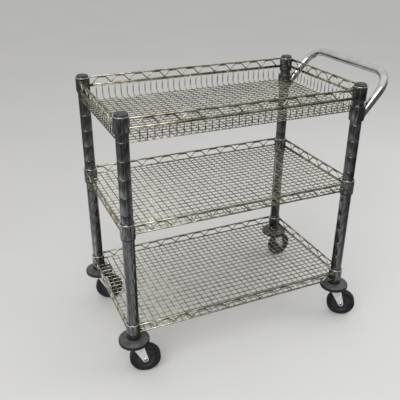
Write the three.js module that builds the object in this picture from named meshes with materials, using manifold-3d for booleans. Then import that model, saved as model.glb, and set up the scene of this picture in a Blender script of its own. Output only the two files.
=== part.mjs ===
// Three-tier wire shelf cart on four swivel casters, with a push handle at one end.
// Units are millimetres, +Z is up. +X runs along the cart towards the handle, +Y to its rear.
// The origin lies on the floor, under the middle of the cart's bounding box.
import * as THREE from 'three';
import { mergeVertices } from 'three/addons/utils/BufferGeometryUtils.js';
import Module from 'manifold-3d';

const wasm = await Module();
wasm.setup();

// ---- driving dimensions -------------------------------------------------------------------------

const gap = 0.3; // clearance kept between pieces that touch
const nestingGap = 0.35; // the same between nested round faces
const looseGap = 0.4; // the same where a rib, a pin or a rim's end needs more room
const cutterMargin = 1; // how far a cutting solid passes beyond the faces that it opens

// Posts: four round tubes at the corners of a rectangle
const postSpacingX = 726;
const postSpacingY = 409;
const postRadius = 17.5;
const postBore = 16;
const postBottom = 128;
const postTop = 816.5;
const grooveTop = 802; // height of the highest locking groove
const groovePitch = 51;
const grooveDepth = 1;
const grooveHalfWidth = 1.5;

// Shelf rims: two rods with a zigzag wire between them, outside the line of the posts
const rimOffset = 15;
const rimHeight = 25; // from the lower rod to the upper rod
const rodThickness = 4.4;
const rodHeight = 5.2;
const zigzagThickness = 4;
const zigzagOverlap = 1; // how deep the zigzag's bends sink into the rods
const zigzagHalfWidth = 3.4; // half the width of the slanted wire, measured along the rim
const longRimWaves = 8;
const longWallSlots = 12;
const endRimWaves = 4;
const endWallSlots = 6;
const endRimInset = 13; // from the post axis back to the end rim's own end, inside the collar

// Shelf heights, given at the lower rod of the rim
const topRodHeight = 787.5;
const middleRodHeight = 487.5;
const bottomRodHeight = 152.5;
const basketDepth = 44.5; // from the lower rod down to the floor of the top basket

// Decks: open grids
const deckThickness = 3;
const deckBar = 7;
const deckCellsX = 9;
const deckCellsY = 5;
const deckCornerNotch = 24.2; // leaves room for the posts and for the collars around them

// Corner collars and the tapered sleeves wedged inside them
const collarRadius = 22;
const collarAboveUpperRod = 5;
const basketCollarHeight = 40;
const flatCollarHeight = 45;
const sleeveBelowCollar = 5;
const sleeveRecess = 1; // from the collar's top edge down to the sleeve's
const sleeveBottomRadius = 20.5;
const sleeveTopRadius = 18.9;

// Push handle: a bent tube welded to two collars on the posts of the handle end
const handleReach = 112.5; // from the post axis out to the grip
const handleGripHeight = 838.4;
const handleHalfSpan = 204;
const handleTubeRadius = 12.5;
const handleBendRadius = 64;
const handleCollarRadius = 23.5;
const handleCollarBottom = 714;
const handleCollarTop = 760;
const handleRootReach = 13; // where the tube starts inside its collar
const handleRootHeight = 722.2;
const handleSteps = 30;
const handleSides = 10;

// Post caps
const capRadius = 17.8;
const capHeight = 9;
const capPlugDepth = 14;
const capBevel = 2.5;
const capDome = 1;

// Casters
const wheelRadius = 47.5;
const tyreWidth = 26;
const tyreBevel = 3;
const hubRadius = 33;
const hubWidth = 27.6;
const hubBossRadius = 14;
const hubDish = 4; // how much thinner the hub is at the tyre
const axleRadius = 4;
const axleHeadRadius = 6.4;
const axleHeadHeight = 3.4;
const axleHeadBevel = 2;
const casterTrail = 31;
const forkInnerWidth = 29.4;
const forkSheet = 2.5;
const forkCrownTop = 106;
const forkCrownThickness = 3.5;
const forkCrownBack = -20; // reaches along the trail, from the swivel axis
const forkLegBack = -9;
const forkCrownFront = 27;
const forkEndRadius = 9;
const kingpinRadius = 5;
const kingpinHeadRadius = 8;
const kingpinHeadHeight = 4;
const racewayRadius = 22;
const neckRadius = 7.6;
const stemPlugLength = 34;
const bumperHole = 8;
const bumperRadius = 46.6;
const bumperBottom = 111;
const bumperTop = 127.6;
const bumperUndercut = 6;
const bumperEdgeLow = 3.5; // heights above the bumper's bottom
const bumperEdgeHigh = 9;
const bumperShoulder = 12.5;
const bumperShoulderInset = 4;
const bumperTopRadius = 19;

// Way each caster trails at rest, in degrees from +X towards +Y
const casterRestAngles = {
  front_left: -14,
  front_right: -35,
  rear_left: -18,
  rear_right: 10,
};

const postSegments = 12; // shared by everything that is concentric with a post
const wheelSegments = 16;
const bumperSegments = 20;
const axleSegments = 10;

// ---- derived sizes ------------------------------------------------------------------------------

const halfX = postSpacingX / 2;
const halfY = postSpacingY / 2;
const longRimY = halfY + rimOffset;
const endRimX = halfX + rimOffset;
const forkOuterHalf = forkInnerWidth / 2 + forkSheet;
const forkCrownBottom = forkCrownTop - forkCrownThickness;

const corners = [
  { name: 'front_left', x: -halfX, y: -halfY },
  { name: 'front_right', x: halfX, y: -halfY },
  { name: 'rear_left', x: -halfX, y: halfY },
  { name: 'rear_right', x: halfX, y: halfY },
];

const shelves = [
  { name: 'top', rod: topRodHeight, collarHeight: basketCollarHeight, basketDepth },
  { name: 'middle', rod: middleRodHeight, collarHeight: flatCollarHeight, basketDepth: 0 },
  { name: 'bottom', rod: bottomRodHeight, collarHeight: flatCollarHeight, basketDepth: 0 },
];

for (const shelf of shelves) {
  shelf.collarTop = shelf.rod + rimHeight + collarAboveUpperRod;
  shelf.collarBottom = shelf.collarTop - shelf.collarHeight;
  shelf.sleeveTop = shelf.collarTop - sleeveRecess;
  shelf.sleeveBottom = shelf.collarBottom - sleeveBelowCollar;
  shelf.groove = grooveWithin(shelf.sleeveBottom + grooveHalfWidth, shelf.sleeveTop);
}

// The height of the highest locking groove between two heights.
function grooveWithin(low, high) {
  let height = grooveTop;
  while (height > high) height -= groovePitch;
  if (height < low) throw new Error('no locking groove inside the sleeve');
  return height;
}

// ---- materials ----------------------------------------------------------------------------------

function finish(color, metalness, roughness) {
  return new THREE.MeshStandardMaterial({ color, metalness, roughness });
}

const finishes = {
  postChrome: () => finish(0x8c8f96, 1, 0.22),
  wireNickel: () => finish(0xb9b096, 1, 0.34),
  handleChrome: () => finish(0xc9c8c4, 1, 0.15),
  blackPlastic: () => finish(0x2b2c2f, 0, 0.5),
  sleevePlastic: () => finish(0x1d1e20, 0, 0.55),
  bumperRubber: () => finish(0x46474a, 0, 0.62),
  zincSteel: () => finish(0xb4b6b2, 1, 0.4),
  tyreRubber: () => finish(0x202125, 0, 0.7),
  hubPlastic: () => finish(0x26272b, 0, 0.5),
};

// ---- geometry helpers ---------------------------------------------------------------------------

const cart = new THREE.Group();

function addMesh(parent, name, geometry, material) {
  const mesh = new THREE.Mesh(geometry, material);
  mesh.name = name;
  parent.add(mesh);
  return mesh;
}

// A solid of revolution about Z from a closed outline of [radius, height] points, listed upwards
// on the outside and downwards on the inside.
function revolve(outline, segments) {
  const touchesAxis = outline.some(([radius]) => radius === 0);
  const points = outline.map(([radius, height]) => new THREE.Vector2(radius, height));
  if (!touchesAxis) points.push(points[0].clone());
  return new THREE.LatheGeometry(points, segments).rotateX(Math.PI / 2);
}

// A cylinder or cone about a vertical axis through (x, y).
function roundBar(radiusBottom, radiusTop, bottom, top, x = 0, y = 0) {
  return new THREE.CylinderGeometry(radiusTop, radiusBottom, top - bottom, postSegments)
    .rotateX(Math.PI / 2)
    .translate(x, y, (bottom + top) / 2);
}

function toManifold(geometry) {
  const bare = geometry.index ? geometry.toNonIndexed() : geometry.clone();
  bare.deleteAttribute('normal');
  bare.deleteAttribute('uv');
  const merged = mergeVertices(bare, 1e-4);
  const triangles = [];
  const index = merged.index.array;
  for (let i = 0; i < index.length; i += 3) {
    const [a, b, c] = [index[i], index[i + 1], index[i + 2]];
    if (a !== b && b !== c && c !== a) triangles.push(a, b, c);
  }
  const mesh = new wasm.Mesh({
    numProp: 3,
    vertProperties: new Float32Array(merged.attributes.position.array),
    triVerts: new Uint32Array(triangles),
  });
  return new wasm.Manifold(mesh);
}

function toGeometry(solid) {
  const mesh = solid.getMesh();
  const geometry = new THREE.BufferGeometry();
  geometry.setAttribute('position', new THREE.BufferAttribute(mesh.vertProperties, 3));
  geometry.setIndex(new THREE.BufferAttribute(mesh.triVerts, 1));
  geometry.computeVertexNormals();
  return geometry;
}

// The first geometry, joined with the others in `added` and cut by those in `removed`.
function combine(base, added, removed) {
  let solid = toManifold(base);
  for (const geometry of added) solid = solid.add(toManifold(geometry));
  for (const geometry of removed) solid = solid.subtract(toManifold(geometry));
  return toGeometry(solid);
}

// A prism on a polygon in the X-Y plane, centred on that plane.
function prism(points, thickness) {
  const shape = new THREE.Shape(points.map(([u, v]) => new THREE.Vector2(u, v)));
  const options = { depth: thickness, bevelEnabled: false };
  return new THREE.ExtrudeGeometry(shape, options).translate(0, 0, -thickness / 2);
}

// A flat plate with the given outline and holes.
function platePiercedBy(holes, outline, thickness) {
  const cutters = holes.map((points) => prism(points, thickness + 2 * cutterMargin));
  return combine(prism(outline, thickness), [], cutters);
}

// ---- posts and caps -----------------------------------------------------------------------------

function postGeometry() {
  const outline = [
    [postBore, postBottom],
    [postRadius, postBottom],
  ];
  const grooves = shelves.map((shelf) => shelf.groove).sort((a, b) => a - b);
  for (const height of grooves) {
    outline.push([postRadius, height - grooveHalfWidth]);
    outline.push([postRadius - grooveDepth, height]);
    outline.push([postRadius, height + grooveHalfWidth]);
  }
  outline.push([postRadius, postTop]);
  outline.push([postBore, postTop]);
  return revolve(outline, postSegments);
}

// A domed cap whose plug fills the mouth of the post.
function capGeometry() {
  const plug = postBore - gap;
  const seat = postTop + gap;
  const outline = [
    [0, seat - capPlugDepth],
    [plug, seat - capPlugDepth],
    [plug, seat],
    [capRadius, seat],
    [capRadius, seat + capHeight - capDome - capBevel],
    [capRadius - capBevel, seat + capHeight - capDome],
    [0, seat + capHeight],
  ];
  return revolve(outline, postSegments);
}

function buildPosts() {
  for (const corner of corners) {
    const post = addMesh(cart, `post_${corner.name}`, postGeometry(), finishes.postChrome());
    post.position.set(corner.x, corner.y, 0);
    const cap = addMesh(cart, `post_cap_${corner.name}`, capGeometry(), finishes.blackPlastic());
    cap.position.set(corner.x, corner.y, 0);
  }
}

// ---- sleeves ------------------------------------------------------------------------------------

function sleeveOuterRadius(shelf, height) {
  const share = (height - shelf.sleeveBottom) / (shelf.sleeveTop - shelf.sleeveBottom);
  return sleeveBottomRadius + (sleeveTopRadius - sleeveBottomRadius) * share;
}

// A tapered ring around the post, with a rib that sits in one of the post's grooves.
function sleeveGeometry(shelf) {
  const bore = postRadius + nestingGap;
  const ribTip = postRadius - grooveDepth + looseGap;
  const ribHalfWidth = ((bore - ribTip) / grooveDepth) * grooveHalfWidth;
  const outline = [
    [bore, shelf.sleeveBottom],
    [sleeveBottomRadius, shelf.sleeveBottom],
    [sleeveTopRadius, shelf.sleeveTop],
    [bore, shelf.sleeveTop],
    [bore, shelf.groove + ribHalfWidth],
    [ribTip, shelf.groove],
    [bore, shelf.groove - ribHalfWidth],
  ];
  return revolve(outline, postSegments);
}

function buildSleeves() {
  for (const shelf of shelves) {
    for (const corner of corners) {
      const name = `sleeve_${shelf.name}_${corner.name}`;
      const sleeve = addMesh(cart, name, sleeveGeometry(shelf), finishes.sleevePlastic());
      sleeve.position.set(corner.x, corner.y, 0);
    }
  }
}

// ---- shelf rims ---------------------------------------------------------------------------------

// The triangular spaces of a zigzag between a rim's two rods, which run along u from
// -halfLength to halfLength.
function zigzagHoles(halfLength, waves) {
  const wave = (2 * halfLength) / waves;
  const low = rodHeight / 2;
  const high = rimHeight - rodHeight / 2;
  const holes = [];
  for (let i = 0; i <= waves; i += 1) {
    const peak = -halfLength + i * wave;
    const left = i === 0 ? peak : peak - wave / 2 + zigzagHalfWidth;
    const right = i === waves ? peak : peak + wave / 2 - zigzagHalfWidth;
    holes.push([[left, low], [right, low], [peak, high - zigzagOverlap]]);
    if (i < waves) {
      const upperLeft = [peak + zigzagHalfWidth, high];
      const upperRight = [peak + wave - zigzagHalfWidth, high];
      holes.push([upperLeft, [peak + wave / 2, low + zigzagOverlap], upperRight]);
    }
  }
  return holes;
}

// The upright slots of a basket wall that hangs below the lower rod.
function wallSlots(halfLength, slots, depth) {
  const pitch = (2 * halfLength) / slots;
  const high = -rodHeight / 2;
  const low = -depth + deckThickness;
  const holes = [];
  for (let i = 0; i < slots; i += 1) {
    const left = -halfLength + i * pitch + zigzagThickness / 2;
    const right = left + pitch - zigzagThickness;
    holes.push([[left, low], [right, low], [right, high], [left, high]]);
  }
  return holes;
}

// One side of a shelf as an upright plate: the rim, and below it the basket wall if there is one.
// The plate lies in the u-v plane with the lower rod at v = 0, and is centred on it.
function rimPlate(halfLength, wallHalfLength, shelf, waves, slots) {
  const low = -rodHeight / 2;
  const high = rimHeight + rodHeight / 2;
  const wallLow = -shelf.basketDepth - deckThickness / 2;
  const outline = [[halfLength, low], [halfLength, high], [-halfLength, high], [-halfLength, low]];
  if (shelf.basketDepth > 0) {
    outline.push([-wallHalfLength, low], [-wallHalfLength, wallLow]);
    outline.push([wallHalfLength, wallLow], [wallHalfLength, low]);
  }
  const holes = zigzagHoles(halfLength - rodHeight, waves);
  if (shelf.basketDepth > 0) {
    holes.push(...wallSlots(wallHalfLength - rodHeight / 2, slots, shelf.basketDepth));
  }
  return platePiercedBy(holes, outline, rodThickness);
}

// How far from the post axis a plate that passes rimOffset beside it clears a collar.
function clearOfCollar(radius) {
  const inner = rimOffset - rodThickness / 2;
  return Math.sqrt(radius * radius - inner * inner) + looseGap;
}

// Front and rear rims stand in the X-Z plane.
function buildLongRims(shelf) {
  const halfLength = halfX - clearOfCollar(collarRadius);
  const wallHalfLength = halfX - clearOfCollar(handleCollarRadius);
  for (const [side, y] of [['front', -longRimY], ['rear', longRimY]]) {
    const plate = rimPlate(halfLength, wallHalfLength, shelf, longRimWaves, longWallSlots)
      .rotateX(Math.PI / 2);
    const rim = addMesh(cart, `shelf_${shelf.name}_rim_${side}`, plate, finishes.wireNickel());
    rim.position.set(0, y, shelf.rod);
  }
}

// End rims stand in the Y-Z plane and carry the shelf's corner collars, welded to their ends.
function buildEndRims(shelf) {
  const halfLength = halfY - endRimInset;
  const wallHalfLength = halfY - clearOfCollar(handleCollarRadius);
  for (const [side, sign] of [['left', -1], ['right', 1]]) {
    const plate = rimPlate(halfLength, wallHalfLength, shelf, endRimWaves, endWallSlots)
      .rotateX(Math.PI / 2)
      .rotateZ(Math.PI / 2)
      .translate(sign * endRimX, 0, shelf.rod);
    const collars = [-halfY, halfY].map((y) =>
      roundBar(collarRadius, collarRadius, shelf.collarBottom, shelf.collarTop, sign * halfX, y));
    const bottom = shelf.collarBottom - cutterMargin;
    const top = shelf.collarTop + cutterMargin;
    const bottomRadius = sleeveOuterRadius(shelf, bottom) + nestingGap;
    const topRadius = sleeveOuterRadius(shelf, top) + nestingGap;
    const bores = [-halfY, halfY].map((y) =>
      roundBar(bottomRadius, topRadius, bottom, top, sign * halfX, y));
    const name = `shelf_${shelf.name}_rim_${side}`;
    addMesh(cart, name, combine(plate, collars, bores), finishes.wireNickel());
  }
}

// ---- shelf decks --------------------------------------------------------------------------------

// A flat grid inside the rims, with its corners notched around the posts.
function deckGeometry() {
  const edgeX = endRimX - rodThickness / 2 - gap;
  const edgeY = longRimY - rodThickness / 2 - gap;
  const notchX = halfX - deckCornerNotch;
  const notchY = halfY - deckCornerNotch;
  const outline = [
    [notchX, -edgeY], [notchX, -notchY], [edgeX, -notchY], [edgeX, notchY],
    [notchX, notchY], [notchX, edgeY], [-notchX, edgeY], [-notchX, notchY],
    [-edgeX, notchY], [-edgeX, -notchY], [-notchX, -notchY], [-notchX, -edgeY],
  ];
  const pitchX = (2 * edgeX - deckBar) / deckCellsX;
  const pitchY = (2 * edgeY - deckBar) / deckCellsY;
  const holes = [];
  for (let i = 0; i < deckCellsX; i += 1) {
    for (let j = 0; j < deckCellsY; j += 1) {
      const inCorner = (i === 0 || i === deckCellsX - 1) && (j === 0 || j === deckCellsY - 1);
      const limitX = inCorner ? notchX - deckBar : edgeX;
      const left = Math.max((i - deckCellsX / 2) * pitchX + deckBar / 2, -limitX);
      const right = Math.min((i + 1 - deckCellsX / 2) * pitchX - deckBar / 2, limitX);
      const front = (j - deckCellsY / 2) * pitchY + deckBar / 2;
      const rear = front + pitchY - deckBar;
      holes.push([[left, front], [right, front], [right, rear], [left, rear]]);
    }
  }
  return platePiercedBy(holes, outline, deckThickness);
}

function buildShelves() {
  for (const shelf of shelves) {
    const deck = addMesh(cart, `shelf_${shelf.name}_deck`, deckGeometry(), finishes.wireNickel());
    deck.position.z = shelf.rod - shelf.basketDepth;
    buildLongRims(shelf);
    buildEndRims(shelf);
  }
}

// ---- push handle --------------------------------------------------------------------------------

// A round bend of 90 degrees or so between two straight runs that would meet at a corner.
function bend(corner, from, to) {
  const roundness = 0.5523; // length of a cubic's arms that draws a quarter circle
  const start = corner.clone().addScaledVector(from, handleBendRadius);
  const end = corner.clone().addScaledVector(to, handleBendRadius);
  const startArm = start.clone().lerp(corner, roundness);
  const endArm = end.clone().lerp(corner, roundness);
  return new THREE.CubicBezierCurve3(start, startArm, endArm, end);
}

function handlePath() {
  const root = new THREE.Vector3(halfX + handleRootReach, handleHalfSpan, handleRootHeight);
  const corner = new THREE.Vector3(halfX + handleReach, handleHalfSpan, handleGripHeight);
  const mirrored = (point) => new THREE.Vector3(point.x, -point.y, point.z);
  const down = root.clone().sub(corner).normalize();
  const across = new THREE.Vector3(0, 1, 0);
  const frontBend = bend(mirrored(corner), down, across);
  const rearBend = bend(corner, across.clone().negate(), down);
  const path = new THREE.CurvePath();
  path.add(new THREE.LineCurve3(mirrored(root), frontBend.v0));
  path.add(frontBend);
  path.add(new THREE.LineCurve3(frontBend.v3, rearBend.v0));
  path.add(rearBend);
  path.add(new THREE.LineCurve3(rearBend.v3, root));
  return path;
}

function buildHandle() {
  const section = new THREE.Shape();
  section.absarc(0, 0, handleTubeRadius, 0, 2 * Math.PI, false);
  const options = {
    extrudePath: handlePath(),
    steps: handleSteps,
    curveSegments: handleSides / 2,
    bevelEnabled: false,
  };
  const tube = new THREE.ExtrudeGeometry(section, options);
  const sides = [-halfY, halfY];
  const collars = sides.map((y) =>
    roundBar(handleCollarRadius, handleCollarRadius, handleCollarBottom, handleCollarTop, halfX, y));
  const bore = postRadius + nestingGap;
  const bottom = handleCollarBottom - cutterMargin;
  const top = handleCollarTop + cutterMargin;
  const bores = sides.map((y) => roundBar(bore, bore, bottom, top, halfX, y));
  addMesh(cart, 'push_handle', combine(tube, collars, bores), finishes.handleChrome());
}

// ---- casters ------------------------------------------------------------------------------------
// Each caster is built with its swivel axis on Z, trailing towards +X, and then turned.

// A donut-shaped bumper that shields the corner and covers the swivel bearing.
function bumperGeometry() {
  const outline = [
    [bumperHole, bumperBottom],
    [bumperRadius - bumperUndercut, bumperBottom],
    [bumperRadius, bumperBottom + bumperEdgeLow],
    [bumperRadius, bumperBottom + bumperEdgeHigh],
    [bumperRadius - bumperShoulderInset, bumperBottom + bumperShoulder],
    [bumperTopRadius, bumperTop],
    [bumperHole, bumperTop],
  ];
  return revolve(outline, bumperSegments);
}

// The fixed half of the swivel: a plug in the post, a neck, a raceway flange and the kingpin.
function stemGeometry() {
  const flangeTop = bumperBottom - gap;
  const flangeBottom = forkCrownTop + gap;
  const headTop = forkCrownBottom - gap;
  const headBottom = headTop - kingpinHeadHeight;
  const plugRadius = postBore - looseGap;
  const plugTop = postBottom + stemPlugLength;
  const outline = [
    [0, headBottom],
    [kingpinHeadRadius, headBottom],
    [kingpinHeadRadius, headTop],
    [kingpinRadius, headTop],
    [kingpinRadius, flangeBottom],
    [racewayRadius, flangeBottom],
    [racewayRadius, flangeTop],
    [neckRadius, flangeTop],
    [neckRadius, postBottom + gap],
    [plugRadius, postBottom + gap],
    [plugRadius, plugTop],
    [0, plugTop],
  ];
  return revolve(outline, postSegments);
}

// A folded steel fork: a crown plate around the kingpin and two tapered legs down to the axle.
function forkGeometry() {
  const legShape = new THREE.Shape();
  legShape.moveTo(forkLegBack, forkCrownTop);
  legShape.absarc(casterTrail, wheelRadius, forkEndRadius, Math.PI * 1.2, Math.PI * 2, false);
  legShape.lineTo(forkCrownFront, forkCrownTop);
  const legOptions = { depth: forkSheet, bevelEnabled: false, curveSegments: 6 };
  const legs = [-forkInnerWidth / 2, forkOuterHalf].map((y) =>
    new THREE.ExtrudeGeometry(legShape, legOptions).rotateX(Math.PI / 2).translate(0, y, 0));
  const crownLength = forkCrownFront - forkCrownBack;
  const crown = new THREE.BoxGeometry(crownLength, 2 * forkOuterHalf, forkCrownThickness)
    .translate((forkCrownFront + forkCrownBack) / 2, 0, forkCrownTop - forkCrownThickness / 2);
  const pinRadius = kingpinRadius + looseGap;
  const pinHole = roundBar(
    pinRadius, pinRadius, forkCrownBottom - cutterMargin, forkCrownTop + cutterMargin);
  const axleHoleRadius = axleRadius + looseGap;
  const axleHoleLength = 2 * (forkOuterHalf + cutterMargin);
  const axleHole = new THREE.CylinderGeometry(
    axleHoleRadius, axleHoleRadius, axleHoleLength, axleSegments)
    .translate(casterTrail, 0, wheelRadius);
  return combine(crown, legs, [pinHole, axleHole]);
}

// Turns a solid of revolution about Z into one about the axle, which runs along Y.
function onAxle(geometry) {
  return geometry.rotateX(Math.PI / 2).translate(casterTrail, 0, wheelRadius);
}

function axleGeometry() {
  const seat = forkOuterHalf + gap;
  const tip = seat + axleHeadHeight;
  const tipRadius = axleHeadRadius - axleHeadBevel;
  const outline = [
    [0, -tip],
    [tipRadius, -tip],
    [axleHeadRadius, -seat],
    [axleRadius, -seat],
    [axleRadius, seat],
    [axleHeadRadius, seat],
    [tipRadius, tip],
    [0, tip],
  ];
  return onAxle(revolve(outline, axleSegments));
}

function hubGeometry() {
  const bore = axleRadius + looseGap;
  const half = hubWidth / 2;
  const rimHalf = half - hubDish;
  const outline = [
    [bore, -half],
    [hubBossRadius, -half],
    [hubRadius - gap, -rimHalf],
    [hubRadius - gap, rimHalf],
    [hubBossRadius, half],
    [bore, half],
  ];
  return onAxle(revolve(outline, wheelSegments));
}

function tyreGeometry() {
  const half = tyreWidth / 2;
  const outline = [
    [hubRadius, -half],
    [wheelRadius - tyreBevel, -half],
    [wheelRadius, -half + tyreBevel],
    [wheelRadius, half - tyreBevel],
    [wheelRadius - tyreBevel, half],
    [hubRadius, half],
  ];
  return onAxle(revolve(outline, wheelSegments));
}

function buildCasters() {
  for (const corner of corners) {
    const caster = new THREE.Group();
    caster.position.set(corner.x, corner.y, 0);
    addMesh(caster, `bumper_${corner.name}`, bumperGeometry(), finishes.bumperRubber());
    addMesh(caster, `caster_stem_${corner.name}`, stemGeometry(), finishes.zincSteel());
    const swivel = new THREE.Group();
    swivel.rotation.z = THREE.MathUtils.degToRad(casterRestAngles[corner.name]);
    addMesh(swivel, `caster_fork_${corner.name}`, forkGeometry(), finishes.zincSteel());
    addMesh(swivel, `caster_axle_${corner.name}`, axleGeometry(), finishes.zincSteel());
    addMesh(swivel, `wheel_hub_${corner.name}`, hubGeometry(), finishes.hubPlastic());
    addMesh(swivel, `wheel_tyre_${corner.name}`, tyreGeometry(), finishes.tyreRubber());
    caster.add(swivel);
    cart.add(caster);
  }
}

// ---- the whole cart -----------------------------------------------------------------------------

buildPosts();
buildSleeves();
buildShelves();
buildHandle();
buildCasters();

// Puts the middle of the bounding box over the origin.
cart.updateMatrixWorld(true);
const bounds = new THREE.Box3().setFromObject(cart, true);
const middle = bounds.getCenter(new THREE.Vector3());
cart.position.set(-middle.x, -middle.y, 0);

export default cart;
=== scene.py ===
"""Looks of a wire shelf cart: a basket, two flat shelves, four posts, a push handle, four casters.

Blender 4.5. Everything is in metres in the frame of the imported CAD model, which stays the fixed
frame: each piece below is built where its CAD node is, rides on that node's body and stands for it.
"""

import math

import bpy
from mathutils import Matrix, Vector


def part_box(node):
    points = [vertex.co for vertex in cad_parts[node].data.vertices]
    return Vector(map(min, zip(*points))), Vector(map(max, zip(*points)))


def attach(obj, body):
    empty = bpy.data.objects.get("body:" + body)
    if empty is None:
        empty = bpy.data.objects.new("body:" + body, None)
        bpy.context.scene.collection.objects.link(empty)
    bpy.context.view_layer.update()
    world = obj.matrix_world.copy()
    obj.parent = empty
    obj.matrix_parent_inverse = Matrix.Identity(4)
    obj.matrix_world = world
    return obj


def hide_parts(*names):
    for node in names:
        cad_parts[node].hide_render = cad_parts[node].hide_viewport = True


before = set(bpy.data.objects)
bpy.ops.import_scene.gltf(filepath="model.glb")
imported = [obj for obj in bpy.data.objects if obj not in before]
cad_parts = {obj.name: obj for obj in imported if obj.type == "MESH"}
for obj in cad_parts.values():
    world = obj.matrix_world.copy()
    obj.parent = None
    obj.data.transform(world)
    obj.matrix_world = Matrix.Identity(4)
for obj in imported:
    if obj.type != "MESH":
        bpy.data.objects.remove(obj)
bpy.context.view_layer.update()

MM = 0.001

# ---- sizes --------------------------------------------------------------------------------------

# Posts
POST_RADIUS = 17.5 * MM
POST_BORE = 16 * MM  # its radius
SLIP_RADIUS = POST_RADIUS + 0.3 * MM  # the bore of what slips over a post
GROOVE_TOP = 802 * MM
GROOVE_PITCH = 51 * MM
GROOVE_COUNT = 14
GROOVE_DEPTH = 0.5 * MM
GROOVE_HALF_WIDTH = 1.2 * MM
GROOVE_ROUNDING = 0.4 * MM

# Caps
CAP_RADIUS = 17.8 * MM
CAP_HEIGHT = 9 * MM  # above its seat on the post

# Collars and sleeves
COLLAR_RADIUS = 22 * MM
COLLAR_WALL = 2.6 * MM
BASKET_COLLAR_HEIGHT = 40 * MM
FLAT_COLLAR_HEIGHT = 45 * MM
PAINTED_HIGHLIGHT_DEPTH = 2 * MM  # how far down a collar's top the painted highlight reaches
SLEEVE_LOW_RADIUS = 20.5 * MM
SLEEVE_HIGH_RADIUS = 18.9 * MM
SLEEVE_SLIT = 1.2 * MM

# Rims
ROD_RADIUS = 2.65 * MM
RIM_OFFSET = 15 * MM  # from the post axis out to the rods
ROD_END = 14.9 * MM  # from the post axis to the end of a rod
ROD_BOX_HALF = 2.6 * MM  # half the height of the CAD rods
ROD_SPACING = 25 * MM  # between the axes of the two rods
ZIGZAG_RADIUS = 1.85 * MM
ZIGZAG_FOOT = 1.5 * MM  # half the width of the wave's point at the lower rod
ZIGZAG_HEAD = 13 * MM  # half the width of its flat along the upper rod
LONG_WAVE = 60 * MM
END_WAVE = 58 * MM
WHOLE_WAVES = 5  # of the basket's long rims, to each side of the middle wave
ZIGZAG_OVERRUN = 2 * MM  # how far a zigzag that is cut off passes the rods' ends
WELD_SINK = 0.3 * MM  # how deep welded wires sink into each other

# Mesh
MESH_WIRE = 1.45 * MM
MESH_PITCH = 20 * MM
BORDER_WIRE = 1.8 * MM
BASKET_BEND = 11 * MM
CORNER_CLEAR = 23.5 * MM  # from the post axis to the wires cut short around it
SHORT_WIRE_EXTRA = 1 * MM  # how far those wires pass this line
DECK_MARGIN = 5 * MM  # from the rods to where a deck's wires may start
BASKET_MARGIN = 12 * MM  # the same for the basket

# Handle
HANDLE_RADIUS = 12.5 * MM
HANDLE_SIDES = 36
HANDLE_BEND = 64 * MM
HANDLE_REACH = 112.5 * MM
HANDLE_HALF_SPAN = 204 * MM
HANDLE_GRIP_HEIGHT = 838.4 * MM
HANDLE_ROOT_REACH = 18 * MM
HANDLE_ROOT_HEIGHT = 728 * MM
HANDLE_COLLAR_RADIUS = 23.5 * MM
HANDLE_COLLAR_LOW = 714 * MM
HANDLE_COLLAR_HIGH = 760 * MM

# Casters, about their swivel axes
CASTER_TRAIL = 31 * MM
WHEEL_RADIUS = 47.5 * MM
FORK_HALF_WIDTH = 15.95 * MM  # to the middle of each leg's sheet
FORK_SHEET = 2.5 * MM
FORK_TOP = 106 * MM
FORK_FOLD = 3.5 * MM
FORK_LEG_TOP = FORK_TOP - 5 * MM
FORK_LEG_BACK = -9 * MM
FORK_CROWN_BACK = -20 * MM
FORK_FRONT = 27 * MM
FORK_END_RADIUS = 9 * MM  # of the round end of each leg
FORK_COLUMNS = 13  # of points along the sheet
CROWN_ROWS = (0.55, 0.36, 0.12)  # of points across the crown, as shares of its half width
KINGPIN_RADIUS = 5 * MM
RACE_RADIUS = 22 * MM  # of the upper race of the swivel
NECK_RADIUS = 7.6 * MM
PLUG_RADIUS = 15.6 * MM  # of the stem's plug in the post
PLUG_LOW = 128.3 * MM
SWIVEL_GAP = 0.3 * MM  # above and below the upper race
BUMPER_RADIUS = 46.6 * MM
BUMPER_LOW = 111 * MM
BUMPER_HIGH = 127.6 * MM
BUMPER_SIDE = 10.4 * MM  # height of its upright side
BUMPER_HOLE = 8 * MM  # its radius, around the stem's neck
BUMPER_RING = 20.5 * MM  # radius of the raised ring around the post
TYRE_BORE = 33 * MM  # its radius
TYRE_HALF_WIDTH = 13 * MM

CORNERS = ("front_left", "front_right", "rear_left", "rear_right")
SHELVES = ("top", "middle", "bottom")

# ---- building meshes ----------------------------------------------------------------------------


class Form:
    """The points and faces of one piece while it is being built."""

    def __init__(self):
        self.points = []
        self.faces = []

    def ring(self, points):
        """Adds points and returns their numbers."""
        start = len(self.points)
        self.points.extend(points)
        return list(range(start, len(self.points)))

    def skin(self, lower, upper):
        """Joins two rings; either may be a single point on the axis."""
        count = max(len(lower), len(upper))
        for i in range(count):
            j = (i + 1) % count
            if len(lower) == 1:
                self.faces.append((lower[0], upper[j], upper[i]))
            elif len(upper) == 1:
                self.faces.append((lower[i], lower[j], upper[0]))
            else:
                self.faces.append((lower[i], lower[j], upper[j], upper[i]))

    def cap(self, ring):
        """Closes a ring with one face."""
        self.faces.append(tuple(ring))

    def finish(self, name, material, body, node, smooth_below=40):
        """Makes the mesh object, which rides on a body and stands for a CAD node."""
        mesh = bpy.data.meshes.new(name)
        mesh.from_pydata([tuple(p) for p in self.points], [], self.faces)
        mesh.validate()
        for polygon in mesh.polygons:
            polygon.use_smooth = True
        mesh.set_sharp_from_angle(angle=math.radians(smooth_below))
        mesh.materials.append(material)
        piece = bpy.data.objects.new(name, mesh)
        bpy.context.scene.collection.objects.link(piece)
        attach(piece, body)
        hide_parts(node)
        return piece


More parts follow.
